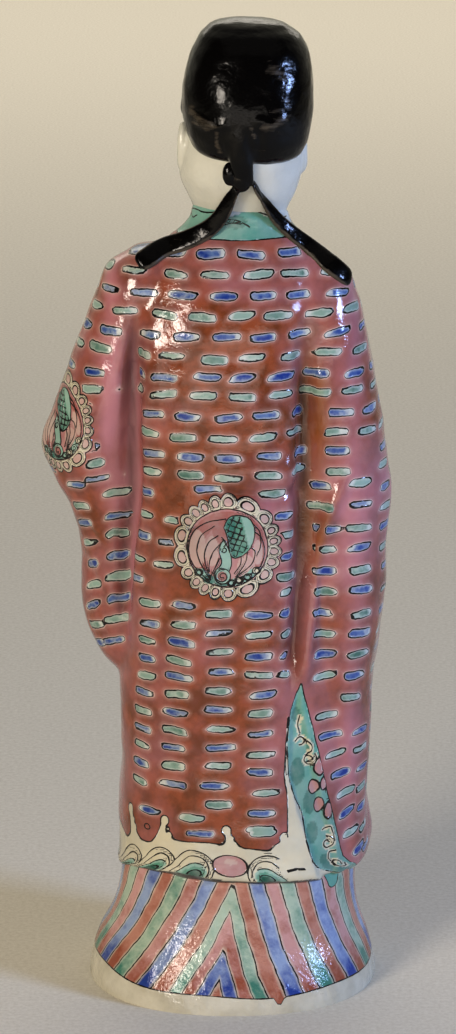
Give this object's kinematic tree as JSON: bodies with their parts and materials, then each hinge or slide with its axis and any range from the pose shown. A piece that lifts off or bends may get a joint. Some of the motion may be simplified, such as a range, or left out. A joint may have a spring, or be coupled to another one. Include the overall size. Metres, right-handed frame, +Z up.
{
  "type": "porcelain scholar figurine",
  "caption": "Standing figure of a scholar-official in a long patterned robe and black two-tier hat, painted and glazed porcelain, flat underside.",
  "frame": {"origin": "middle of the base, on the flat underside", "axes": "+Z up the figure; -Y the way the figure faces; +X towards the figure's left hand"},
  "size_m": [0.1059, 0.0808, 0.2999],
  "materials": {
    "painted_porcelain": "glossy clear glaze over white porcelain with painted enamels"
  },
  "bodies": {
    "root": {"scholar_figurine": "painted_porcelain"}
  },
  "joints": []
}
